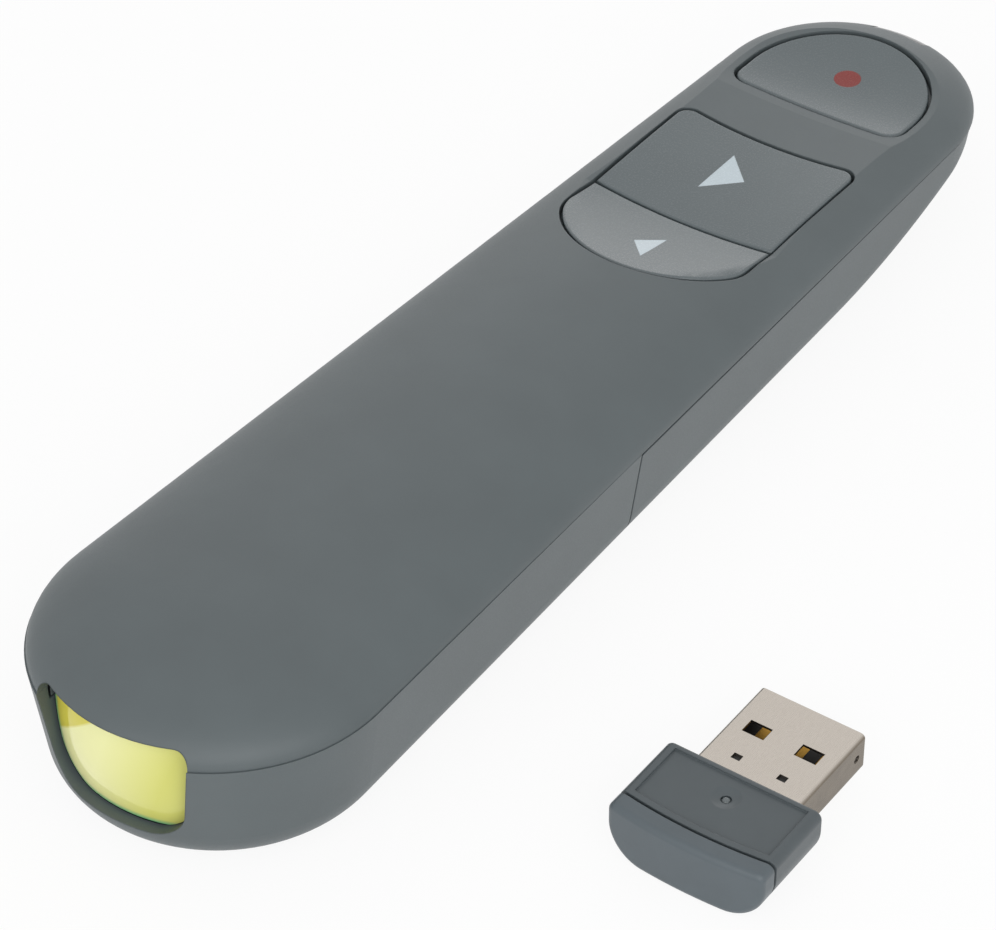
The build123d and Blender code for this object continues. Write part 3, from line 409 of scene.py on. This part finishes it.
def clearance(points, spot):
    # plan distance from the spot to the nearest run of an outline
    gaps = []
    for a, b in runsOf(points):
        run = b - a
        share = (spot - a).dot(run) / max(run.length_squared, weld ** 2)
        gaps.append((a + run * max(0.0, min(1.0, share)) - spot).length)
    return min(gaps)


def weldedKey(source):
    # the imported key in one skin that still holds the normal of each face's corners
    shape = bmesh.new()
    shape.from_mesh(source)
    kept = shape.loops.layers.float_vector.new("keptNormal")
    cornerNormals = [Vector(n.vector) for n in source.corner_normals]
    for face in shape.faces:
        for loop in face.loops:
            loop[kept] = cornerNormals[loop.index]
    bmesh.ops.remove_doubles(shape, verts=shape.verts, dist=weld)
    shape.normal_update()
    shape.edges.index_update()
    shape.faces.index_update()
    shape.faces.ensure_lookup_table()
    return shape, kept


def topPatch(shape):
    # the dished top: every face that joins its highest one without a sharp bend
    level = [f for f in shape.faces if f.normal.z > upright]
    first = max(level, key=lambda f: f.calc_center_median().z)
    patch = {first}
    ahead = [first]
    while ahead:
        face = ahead.pop()
        for edge in face.edges:
            for other in edge.link_faces:
                if other not in patch and face.normal.angle(other.normal) < gentle:
                    patch.add(other)
                    ahead.append(other)
    return patch


def rimOf(patch):
    # the ring of points round the top, and the rings round the holes in it
    rim = [e for f in patch for e in f.edges if sum(g in patch for g in e.link_faces) == 1]
    outer, *holes = sorted(edgeLoops(rim), key=lambda ring: -abs(planArea(ring)))
    if planArea(outer) < 0:
        outer.reverse()
    return outer, holes


def topProbe(shape, kept, border, outlines, even):
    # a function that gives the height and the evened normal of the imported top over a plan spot
    surface = BVHTree.FromBMesh(shape)
    corners = []
    for face in shape.faces:
        points = [x.vert.co.copy() for x in face.loops]
        corners.append((points, [x[kept].copy() for x in face.loops]))

    def probe(spot):
        hit, _, index, _ = surface.ray_cast(Vector((*spot, probeHeight)), Vector((0, 0, -1)))
        points, directions = corners[index]
        weights = poly_3d_calc(points, hit)
        normal = sum((way * share for way, share in zip(directions, weights)), Vector((0, 0, 0)))
        return hit.z, normal.normalized()

    def onTop(spot):
        height, normal = probe(spot)
        for i in range(spotsAround):
            turn = math.tau * i / spotsAround
            near = spot + Vector((math.cos(turn), math.sin(turn))) * even
            if holds(border, near) and not any(holds(ring, near) for ring in outlines):
                normal += probe(near)[1]
        return height, normal.normalized()

    return onTop


def insetRing(outer, roll):
    # which way is outward at each point of the rim, and where the roll ends in plan
    points = [v.co.xy for v in outer]
    count = len(points)
    ways, reaches = [], []
    for i, point in enumerate(points):
        before = (point - points[i - 1]).normalized()
        after = (points[(i + 1) % count] - point).normalized()
        middle = (before + after).normalized()
        ways.append(Vector((middle.y, -middle.x)))
        reaches.append(1 / max(sharpest, middle.dot(after)))
    inset = [point - way * roll * reach for point, way, reach in zip(points, ways, reaches)]
    for i in range(count):
        # a run shorter than the roll folds into the sharper of its two ends
        j = (i + 1) % count
        if (inset[j] - inset[i]).dot(points[j] - points[i]) < 0:
            inset[i] = inset[j] = inset[i] if reaches[i] > reaches[j] else inset[j]
    return ways, inset


def topGrid(inset, outlines, pitch):
    # staggered points for the new top, clear of the rolled corner and of the mark's recess
    low = Vector((min(p.x for p in inset), min(p.y for p in inset)))
    high = Vector((max(p.x for p in inset), max(p.y for p in inset)))
    gap = gridGap * pitch
    spots = []
    for row in range(int((high.y - low.y) / pitch) + 1):
        for column in range(int((high.x - low.x) / pitch) + 1):
            spot = low + Vector((column + 0.5 * (row % 2), row)) * pitch
            if not holds(inset, spot) or clearance(inset, spot) < gap:
                continue
            if any(holds(ring, spot) or clearance(ring, spot) < gap for ring in outlines):
                continue
            spots.append(spot)
    return spots


def addFace(shape, kept, verts, normals):
    face = shape.faces.new(verts)
    for loop in face.loops:
        loop[kept] = normals[loop.vert]


def rollCorner(shape, kept, outer, ways, inset, tops, look):
    # a quarter turn of faces from the wall to the top, and the ring that it ends in
    roll, steps, count = look["roll"], look["steps"], len(outer)
    rings = [outer]
    normalAt = [{vert: Vector((*way, 0)) for vert, way in zip(outer, ways)}]
    for k in range(1, steps + 1):
        turn = math.radians(90) * k / steps
        ring, normals = [], {}
        for vert, end, way, (height, normal) in zip(outer, inset, ways, tops):
            spot = vert.co.xy.lerp(end, 1 - math.cos(turn))
            ring.append(shape.verts.new((*spot, height - roll * (1 - math.sin(turn)))))
            leaning = Vector((*way, 0)) * math.cos(turn) + normal * math.sin(turn)
            normals[ring[-1]] = leaning.normalized()
        rings.append(ring)
        normalAt.append(normals)
    for vert, (height, _) in zip(outer, tops):
        vert.co.z = height - roll
    for k in range(steps):
        both = {**normalAt[k], **normalAt[k + 1]}
        lower, upper = rings[k], rings[k + 1]
        for i in range(count):
            j = (i + 1) % count
            addFace(shape, kept, (lower[i], lower[j], upper[j], upper[i]), both)
    return rings[-1], normalAt[-1]


def layTop(shape, kept, rings, spots, normals):
    # triangles inside the first ring and outside the others, over every vert in normals
    verts = list(normals)
    fields, start = [], 0
    for ring in rings:
        fields.append(list(range(start, start + len(ring))))
        start += len(ring)
    inMillimetres = [spot / mm for spot in spots]
    found = delaunay_2d_cdt(inMillimetres, [], fields, 1, roundOff, True)
    triangles, origins, within = found[2], found[3], found[5]
    for triangle, owners in zip(triangles, within):
        if list(owners) != [0]:
            continue
        ends = [verts[origins[i][0]] for i in triangle]
        if len(set(ends)) == 3:
            addFace(shape, kept, ends, normals)


def closeShape(shape):
    # joins what meets, clears what is left over and counts the edges still open
    bmesh.ops.remove_doubles(shape, verts=shape.verts, dist=weld)
    bmesh.ops.delete(shape, geom=[e for e in shape.edges if e.is_wire], context="EDGES")
    loose = [v for v in shape.verts if not v.link_faces]
    bmesh.ops.delete(shape, geom=loose, context="VERTS")
    return sum(len(e.link_faces) != 2 for e in shape.edges)


def rolledKey(node, look):
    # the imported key, with the corner of its top rolled over and the top laid anew inside it
    shape, kept = weldedKey(frame["nodes"][node].data)
    patch = topPatch(shape)
    outer, holes = rimOf(patch)
    outlines = [[v.co.xy for v in ring] for ring in holes]
    onTop = topProbe(shape, kept, [v.co.xy for v in outer], outlines, look["even"])
    ways, inset = insetRing(outer, look["roll"])
    tops = [onTop(spot) for spot in inset]
    gridSpots = topGrid(inset, outlines, look["pitch"])
    gridTops = [onTop(spot) for spot in gridSpots]
    holeNormals = {}
    for vert in sum(holes, []):
        near = [loop[kept] for loop in vert.link_loops if loop.face in patch]
        holeNormals[vert] = sum(near, Vector((0, 0, 0))).normalized()

    bmesh.ops.delete(shape, geom=list(patch), context="FACES_ONLY")
    inner, normals = rollCorner(shape, kept, outer, ways, inset, tops, look)
    normals = {**normals, **holeNormals}
    for spot, (height, normal) in zip(gridSpots, gridTops):
        normals[shape.verts.new((*spot, height))] = normal
    layTop(shape, kept, [inner, *holes], inset + sum(outlines, []) + gridSpots, normals)
    openEdges = closeShape(shape)

    mesh = bpy.data.meshes.new(look["name"])
    shape.to_mesh(mesh)
    shape.free()
    mesh.shade_smooth()
    lasting = [Vector(item.vector) for item in mesh.attributes["keptNormal"].data]
    mesh.normals_split_custom_set(lasting)
    mesh.attributes.remove(mesh.attributes["keptNormal"])
    piece = bpy.data.objects.new(look["name"], mesh)
    bpy.context.scene.collection.objects.link(piece)
    mesh.materials.append(finishes["key_grey"])
    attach(piece, look["body"])
    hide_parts(node)
    print("stage:", look["name"], len(mesh.polygons), "faces, open edges", openEdges)


keyTops = {
    "laser_button": {
        "name": "laserKeyTop", "body": "laser_key",
        "roll": 0.4 * mm, "steps": 5, "pitch": 0.8 * mm, "even": 0.5 * mm},
    "next_button": {
        "name": "nextKeyTop", "body": "next_key",
        "roll": 0.3 * mm, "steps": 5, "pitch": 0.8 * mm, "even": 0.5 * mm},
    "previous_button": {
        "name": "previousKeyTop", "body": "previous_key",
        "roll": 0.3 * mm, "steps": 5, "pitch": 0.5 * mm, "even": 0.9 * mm},
}
for node, look in keyTops.items():
    rolledKey(node, look)


def seenAsWhite(tree):
    # 1 for what the camera, gloss and glass see, 0 for the light that falls on things
    path = tree.nodes.new("ShaderNodeLightPath")
    seen = path.outputs["Is Camera Ray"]
    for ray in ("Is Glossy Ray", "Is Transmission Ray"):
        seen = combine(tree, "MAXIMUM", seen, path.outputs[ray])
    return seen


def showBoth(tree, share, lit, white, surface):
    # the lit look where share is 0 and the white one where it is 1
    mix = tree.nodes.new("ShaderNodeMixShader")
    for socket, source in zip(mix.inputs, (share, lit, white)):
        tree.links.new(source, socket)
    tree.links.new(mix.outputs[0], surface)


roomLook = {"horizon": 0.95, "zenith": 0.62, "shown": 1.0}


def paleRoom(look):
    # soft light from all round, about a third weaker from straight above
    world = bpy.data.worlds.new("paleRoom")
    world.use_nodes = True
    tree = world.node_tree
    tree.nodes.clear()
    ray = tree.nodes.new("ShaderNodeTexCoord")
    split = tree.nodes.new("ShaderNodeSeparateXYZ")
    tree.links.new(ray.outputs["Generated"], split.inputs[0])
    level = step(tree, split.outputs["Z"], 0.0, 1.0, look["horizon"], look["zenith"])
    room, shown = (tree.nodes.new("ShaderNodeBackground") for _ in range(2))
    tree.links.new(level, room.inputs["Strength"])
    shown.inputs["Strength"].default_value = look["shown"]
    for light in (room, shown):
        light.inputs["Color"].default_value = (1, 1, 1, 1)
    output = tree.nodes.new("ShaderNodeOutputWorld")
    showBoth(tree, seenAsWhite(tree), room.outputs[0], shown.outputs[0], output.inputs["Surface"])
    return world


floorLook = {"half": 1.2, "drop": 0.02 * mm, "colour": 0.9, "rough": 0.8, "shadow": 0.10}


def paleFloor(look):
    # white to the eye but for a share of its own shading, which keeps the shadow
    bpy.ops.mesh.primitive_plane_add(size=2 * look["half"], location=(0, 0, -look["drop"]))
    floor = bpy.context.active_object
    floor.name = "paleFloor"
    finish = bpy.data.materials.new("paleFloor")
    finish.use_nodes = True
    tree = finish.node_tree
    shader = tree.nodes["Principled BSDF"]
    shader.inputs["Base Color"].default_value = (look["colour"],) * 3 + (1,)
    shader.inputs["Roughness"].default_value = look["rough"]
    shader.inputs["Specular IOR Level"].default_value = 0.0
    white = tree.nodes.new("ShaderNodeEmission")
    white.inputs["Strength"].default_value = 1.0
    share = combine(tree, "MULTIPLY", seenAsWhite(tree), 1 - look["shadow"])
    surface = tree.nodes["Material Output"].inputs["Surface"]
    showBoth(tree, share, shader.outputs[0], white.outputs[0], surface)
    floor.data.materials.append(finish)
    return floor


bpy.context.scene.world = paleRoom(roomLook)
paleFloor(floorLook)

lampLooks = {
    "topBox": {"place": (-0.1, 0.15, 0.55), "aim": (0, 0, 0), "size": (0.5, 0.4), "watts": 0.1},
    "rightBox": {
        "place": (0.45, -0.25, 0.25), "aim": (0, 0, 0.01), "size": (0.4, 0.4), "watts": 0.5},
    "frontBox": {
        "place": (0.22, -0.55, 0.36), "aim": (0, 0, 0.01), "size": (0.9, 0.6), "watts": 1.8},
    "backBox": {
        "place": (-0.26, 0.52, 0.18), "aim": (0, 0.02, 0.01), "size": (0.35, 0.22), "watts": 0.22},
}


def softBox(name, look):
    data = bpy.data.lights.new(name, "AREA")
    data.shape = "RECTANGLE"
    data.size, data.size_y = look["size"]
    data.energy = look["watts"]
    lamp = bpy.data.objects.new(name, data)
    bpy.context.scene.collection.objects.link(lamp)
    lamp.location = look["place"]
    beam = Vector(look["aim"]) - Vector(look["place"])
    lamp.rotation_euler = beam.to_track_quat("-Z", "Y").to_euler()


for name, look in lampLooks.items():
    softBox(name, look)

cameraLook = {
    "azimuth": 35.73, "elevation": 40.0, "roll": -0.26, "distance": 0.431,
    "target": (-3.1 * mm, -4.7 * mm, 0.0), "focalPixels": 4000, "widthPixels": 996,
    "sensor": 36.0, "near": 0.01, "far": 10,
}


def studioCamera(look):
    turn, lift, roll = (math.radians(look[key]) for key in ("azimuth", "elevation", "roll"))
    side = Vector((math.cos(turn), math.sin(turn), 0))
    ahead = Vector((
        -math.sin(turn) * math.cos(lift), math.cos(turn) * math.cos(lift), -math.sin(lift)))
    up = side.cross(ahead)
    right = side * math.cos(roll) + up * math.sin(roll)
    above = up * math.cos(roll) - side * math.sin(roll)
    data = bpy.data.cameras.new("studioCamera")
    data.sensor_width = look["sensor"]
    data.lens = look["focalPixels"] * look["sensor"] / look["widthPixels"]
    data.clip_start = look["near"]
    data.clip_end = look["far"]
    camera = bpy.data.objects.new("studioCamera", data)
    bpy.context.scene.collection.objects.link(camera)
    spot = Vector(look["target"]) - ahead * look["distance"]
    camera.matrix_world = Matrix((
        (right.x, above.x, -ahead.x, spot.x),
        (right.y, above.y, -ahead.y, spot.y),
        (right.z, above.z, -ahead.z, spot.z),
        (0, 0, 0, 1),
    ))
    return camera


bpy.context.scene.camera = studioCamera(cameraLook)
bpy.context.scene.view_settings.view_transform = "Standard"
print("stage: floor, lamps and camera")
